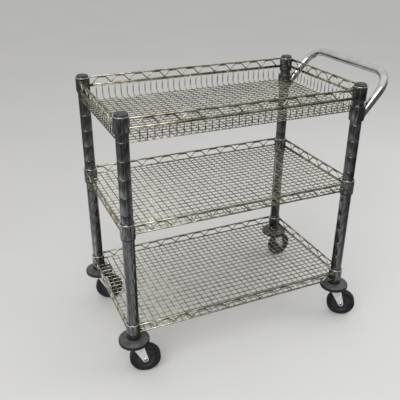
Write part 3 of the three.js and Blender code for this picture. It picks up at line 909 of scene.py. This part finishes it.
def build_fork(corner):
    """One pressed sheet: a crown with a hole for the kingpin, folds and two tapered legs."""
    place = swivel_place(corner)
    form = Form()
    rows = []
    near_kingpin = set()
    for across, height in fork_section():
        back = leg_edge(LEG_BACK_START, LEG_BACK_TOUCH, -1, height)
        front = leg_edge(LEG_FRONT_START, LEG_FRONT_TOUCH, 1, height)
        if abs(across) < FORK_HALF_WIDTH - 1e-6:
            bulge = math.cos(math.pi / 2 * abs(across) / FORK_HALF_WIDTH)
            back -= (FORK_LEG_BACK - FORK_CROWN_BACK) * bulge
        spots = [back + (front - back) * i / (FORK_COLUMNS - 1) for i in range(FORK_COLUMNS)]
        row = form.ring([place @ Vector((s, across, height)) for s in spots])
        rows.append(row)
        near_kingpin.update(i for i, s in zip(row, spots) if math.hypot(s, across) < KINGPIN_RADIUS)
    for lower, upper in zip(rows, rows[1:]):
        for i in range(FORK_COLUMNS - 1):
            face = (lower[i], lower[i + 1], upper[i + 1], upper[i])
            if near_kingpin.isdisjoint(face):
                form.faces.append(face)
    piece = form.finish(f"fork_sheet_{corner}", ZINC_STEEL, f"{corner}_fork",
                        f"caster_fork_{corner}")
    solid = piece.modifiers.new("sheet", "SOLIDIFY")
    solid.thickness = FORK_SHEET
    solid.offset = 0
    edge = piece.modifiers.new("edge", "BEVEL")
    edge.width = 0.5 * MM
    edge.segments = 2
    edge.limit_method = "ANGLE"
    edge.angle_limit = math.radians(50)


def build_axle(corner):
    """A rivet with a domed head at each side."""
    seat = FORK_HALF_WIDTH + FORK_SHEET / 2
    shaft = 4 * MM
    head = 6.4 * MM
    tip = seat + 3.7 * MM
    half = [
        (shaft, seat - 0.2 * MM, 0),
        (head, seat - 0.2 * MM, 0.3 * MM),
        (head, seat + 0.9 * MM, 0.5 * MM),
        (head - 2.2 * MM, tip - 0.8 * MM, 1 * MM),
        (0, tip, 0),
    ]
    outline = [(r, -h, f) for r, h, f in reversed(half)] + half
    form = Form()
    add_turned(form, rounded(outline), axle_place(corner), segments=32)
    form.finish(f"axle_rivet_{corner}", RIVET_STEEL, f"{corner}_fork", f"caster_axle_{corner}")


def build_hub(corner):
    """The wheel's hard core: a boss, a recessed web and a rim under the tyre."""
    bore = 4.4 * MM
    boss = 13.6 * MM
    side = [
        (TYRE_BORE - 0.3 * MM, 10.6 * MM, 0.5 * MM),
        (30.5 * MM, 11.6 * MM, 0.6 * MM),
        (28.5 * MM, 9 * MM, 1 * MM),
        (16.5 * MM, 8.4 * MM, 1.2 * MM),
        (13.5 * MM, 12.4 * MM, 0.8 * MM),
        (9 * MM, boss, 0.5 * MM),
        (bore, boss, 0.3 * MM),
    ]
    outline = [(r, -h, f) for r, h, f in reversed(side)] + side
    form = Form()
    add_turned(form, rounded(outline), axle_place(corner), segments=64)
    form.finish(f"hub_{corner}", HUB_PLASTIC, f"{corner}_wheel", f"wheel_hub_{corner}")


def build_tyre(corner):
    """A solid tyre: rounded shoulders, a ring pressed into each side and a fine mould line."""
    half = TYRE_HALF_WIDTH
    side = [
        (WHEEL_RADIUS, 8.5 * MM, 1.5 * MM),
        (WHEEL_RADIUS - 1.4 * MM, 11.6 * MM, 1 * MM),
        (WHEEL_RADIUS - 3.4 * MM, half, 1 * MM),
        (42.2 * MM, half, 0.3 * MM),
        (41.7 * MM, half - 0.8 * MM, 0.2 * MM),
        (40.7 * MM, half - 0.8 * MM, 0.2 * MM),
        (40.2 * MM, half, 0.3 * MM),
        (TYRE_BORE + 1 * MM, half - 0.4 * MM, 0.5 * MM),
        (TYRE_BORE, half - 1.6 * MM, 0.3 * MM),
    ]
    flank = WHEEL_RADIUS - 0.25 * MM
    seam = [(flank, -0.5 * MM, 0), (WHEEL_RADIUS, 0, 0), (flank, 0.5 * MM, 0)]
    outline = [(r, -h, f) for r, h, f in reversed(side)] + seam + side
    form = Form()
    add_turned(form, rounded(outline), axle_place(corner), segments=80)
    form.finish(f"tyre_{corner}", TYRE_RUBBER, f"{corner}_wheel", f"wheel_tyre_{corner}")


# ---- the whole cart -----------------------------------------------------------------------------

for corner in CORNERS:
    build_post(corner)
    build_cap(corner)
    build_bumper(corner)
    build_stem(corner)
    build_fork(corner)
    build_axle(corner)
    build_hub(corner)
    build_tyre(corner)
for shelf in SHELVES:
    build_rims(shelf)
    for corner in CORNERS:
        build_sleeve(shelf, corner)
        build_collar(shelf, corner)
build_basket()
build_flat_deck("middle")
build_flat_deck("bottom")
build_handle()

# ---- studio -------------------------------------------------------------------------------------

FLOOR_RADIUS = 16.0
MIRRORED_FLOOR_HEIGHT = -5 * MM
RING_RADIUS = 2.0  # of the mirrored floor's outermost ring
DIM_CENTRE = (1.4, -1.0, 0)  # centre of the darker part of the painted reflection of the floor
DIM_RADIUS = 1.8

BACKDROP_RADIUS = 4.0
BACKDROP_HEIGHT = 3.2
BACKDROP_FROM = math.radians(-128)
BACKDROP_TO = math.radians(-15)
BACKDROP_STEPS = 24

LAMP_TARGET = (0, 0, 0.4)
KEY_PLACE = (-1.6, -1.8, 2.6)
KEY_SIZE = 2.6
KEY_POWER = 60
FILL_PLACE = (2.4, -0.6, 1.8)
FILL_SIZE = 2.4
FILL_POWER = 25

CAMERA_PLACE = (-0.7565, -1.4775, 1.2409)
CAMERA_YAW = 0.4189  # from +Y towards +X
CAMERA_PITCH = 0.4627  # downwards
CAMERA_ROLL = 0.0066
CAMERA_LENS = 50.04
CAMERA_SENSOR = 36


def sheet(name, form, material):
    """A thin piece of the stage."""
    mesh = bpy.data.meshes.new(name)
    mesh.from_pydata([tuple(p) for p in form.points], [], form.faces)
    mesh.materials.append(material)
    piece = bpy.data.objects.new(name, mesh)
    bpy.context.scene.collection.objects.link(piece)
    return piece


def disc(name, radius, height, material):
    form = Form()
    across, along = Vector((1, 0, 0)), Vector((0, 1, 0))
    form.cap(form.ring(circle(Vector((0, 0, height)), across, along, radius, 96)))
    return sheet(name, form, material)


def build_floor():
    """A plain pale floor, which the metal doesn't mirror."""
    paper = surface(
        "floor", metallic=0.0,
        colours=((0.625, 0.62, 0.605), (0.64, 0.635, 0.62), (0.655, 0.65, 0.635)), blotch=1.5,
        roughness=(0.55, 0.65), smear=3, grain=60, grain_bump=(0.05, 0.001))
    floor = disc("floor", FLOOR_RADIUS, 0, paper)
    floor.visible_glossy = False


def glow_material(name, build_colour):
    """A light-giving material; build_colour(nodes, links, place) returns its colour."""
    material = bpy.data.materials.new(name)
    material.use_nodes = True
    nodes, links = material.node_tree.nodes, material.node_tree.links
    nodes.remove(nodes["Principled BSDF"])
    place = nodes.new("ShaderNodeTexCoord").outputs["Object"]
    glow = nodes.new("ShaderNodeEmission")
    links.new(build_colour(nodes, links, place), glow.inputs["Color"])
    links.new(glow.outputs["Emission"], nodes["Material Output"].inputs["Surface"])
    return material


def nearness(nodes, links, place, centre, radius):
    """1 at a centre, falling to 0 at a radius around it."""
    shrink = nodes.new("ShaderNodeMapping")
    shrink.vector_type = "TEXTURE"
    shrink.inputs["Location"].default_value = centre
    shrink.inputs["Scale"].default_value = (radius, radius, radius)
    links.new(place, shrink.inputs["Vector"])
    fall = nodes.new("ShaderNodeTexGradient")
    fall.gradient_type = "SPHERICAL"
    links.new(shrink.outputs["Vector"], fall.inputs["Vector"])
    return fall.outputs["Fac"]


def multiply(nodes, links, first, second):
    product = nodes.new("ShaderNodeMixRGB")
    product.blend_type = "MULTIPLY"
    product.inputs["Fac"].default_value = 1
    links.new(first, product.inputs["Color1"])
    links.new(second, product.inputs["Color2"])
    return product.outputs["Color"]


def greys(*stops):
    """Colour stops from (position, brightness) pairs."""
    return [(position, (value, value, value)) for position, value in stops]


def wedges(nodes, links, place):
    """Noise that changes with the direction from the middle of the cart only."""
    turn = nodes.new("ShaderNodeTexGradient")
    turn.gradient_type = "RADIAL"
    links.new(place, turn.inputs["Vector"])
    texture = nodes.new("ShaderNodeTexNoise")
    texture.noise_dimensions = "1D"
    texture.inputs["Scale"].default_value = 22
    texture.inputs["Detail"].default_value = 1
    links.new(turn.outputs["Fac"], texture.inputs["W"])
    return texture.outputs["Fac"]


def mirrored_floor_colour(nodes, links, place):
    """Painted reflection of the floor: a painted shadow under the cart, brightest in a ring around it,
    streaky, and darker at the front right.
    """
    zones = nearness(nodes, links, place, (0, 0, 0), RING_RADIUS)
    # painted shadow of the cart under it and a painted bright ring of floor around it
    rings = ramp(nodes, links, zones, greys((0.05, 0.34), (0.35, 1.0), (0.72, 1.2), (0.82, 0.06)))
    streaks = ramp(nodes, links, wedges(nodes, links, place),
                   greys((0.38, 0.25), (0.48, 0.6), (0.60, 1.0)))
    patches = ramp(nodes, links, noise(nodes, links, place, 1.6, detail=2),
                   greys((0.38, 0.4), (0.60, 1.0)))
    side = ramp(nodes, links, nearness(nodes, links, place, DIM_CENTRE, DIM_RADIUS),
                greys((0.0, 1.0), (0.45, 0.45)))
    pattern = multiply(nodes, links, streaks, patches)
    return multiply(nodes, links, multiply(nodes, links, rings, side), pattern)


def backdrop_colour(nodes, links, place):
    """Painted reflection: mostly dark, with a few paler patches."""
    patches = noise(nodes, links, place, 0.9, detail=2)
    return ramp(nodes, links, patches, greys((0.40, 0.03), (0.52, 0.1), (0.64, 0.45)))


def show_in_reflections_only(card):
    card.visible_camera = False
    card.visible_diffuse = False
    card.visible_transmission = False
    card.visible_volume_scatter = False
    card.visible_shadow = False


def build_mirrored_floor():
    """A glowing sheet seen only in reflections: a painted reflection that polished metal mirrors in
    place of the floor.
    """
    material = glow_material("mirrored_floor", mirrored_floor_colour)
    show_in_reflections_only(disc("mirrored_floor", FLOOR_RADIUS, MIRRORED_FLOOR_HEIGHT, material))


def build_mirrored_backdrop():
    """A dark glowing curtain behind the camera, seen only in reflections: a painted dark reflection
    for the metal to mirror.
    """
    form = Form()
    for i in range(BACKDROP_STEPS + 1):
        t = BACKDROP_FROM + (BACKDROP_TO - BACKDROP_FROM) * i / BACKDROP_STEPS
        x = BACKDROP_RADIUS * math.cos(t)
        y = BACKDROP_RADIUS * math.sin(t)
        form.ring([Vector((x, y, 0)), Vector((x, y, BACKDROP_HEIGHT))])
    for i in range(BACKDROP_STEPS):
        form.faces.append((2 * i, 2 * i + 1, 2 * i + 3, 2 * i + 2))
    material = glow_material("mirrored_backdrop", backdrop_colour)
    show_in_reflections_only(sheet("mirrored_backdrop", form, material))


def build_world():
    """A pale room, a little brighter overhead."""
    world = bpy.data.worlds.new("room")
    bpy.context.scene.world = world
    world.use_nodes = True
    nodes, links = world.node_tree.nodes, world.node_tree.links
    direction = nodes.new("ShaderNodeTexCoord").outputs["Generated"]
    height = nodes.new("ShaderNodeSeparateXYZ")
    links.new(direction, height.inputs["Vector"])
    shade = ramp(nodes, links, height.outputs["Z"], [
        (0.0, (0.55, 0.55, 0.56)), (0.25, (0.70, 0.70, 0.71)), (0.9, (0.95, 0.95, 0.95))])
    links.new(shade, nodes["Background"].inputs["Color"])
    nodes["Background"].inputs["Strength"].default_value = 0.8


def add_softbox(name, place, size, power):
    """A square lamp turned towards the cart; the size is in metres and the power in watts."""
    light = bpy.data.lights.new(name, "AREA")
    light.shape = "SQUARE"
    light.size = size
    light.energy = power
    lamp = bpy.data.objects.new(name, light)
    lamp.location = place
    way = Vector(LAMP_TARGET) - Vector(place)
    lamp.rotation_mode = "QUATERNION"
    lamp.rotation_quaternion = way.to_track_quat("-Z", "Y")
    bpy.context.scene.collection.objects.link(lamp)
    return lamp


def build_lamps():
    add_softbox("key", KEY_PLACE, KEY_SIZE, KEY_POWER)
    fill = add_softbox("fill", FILL_PLACE, FILL_SIZE, FILL_POWER)
    fill.visible_glossy = False


def build_camera():
    level = math.cos(CAMERA_PITCH)
    forward = Vector((math.sin(CAMERA_YAW) * level, math.cos(CAMERA_YAW) * level,
                      -math.sin(CAMERA_PITCH)))
    right = Vector((math.cos(CAMERA_YAW), -math.sin(CAMERA_YAW), 0))
    up = right.cross(forward)
    rolled_right = right * math.cos(CAMERA_ROLL) + up * math.sin(CAMERA_ROLL)
    rolled_up = up * math.cos(CAMERA_ROLL) - right * math.sin(CAMERA_ROLL)
    camera = bpy.data.cameras.new("camera")
    camera.lens = CAMERA_LENS
    camera.sensor_width = CAMERA_SENSOR
    camera.clip_start = 0.05
    view = bpy.data.objects.new("camera", camera)
    turn = Matrix((rolled_right, rolled_up, -forward)).transposed()
    view.matrix_world = Matrix.Translation(CAMERA_PLACE) @ turn.to_4x4()
    bpy.context.scene.collection.objects.link(view)
    bpy.context.scene.camera = view


build_floor()
build_mirrored_floor()
build_mirrored_backdrop()
build_world()
build_lamps()
build_camera()
bpy.context.scene.view_settings.view_transform = "Standard"
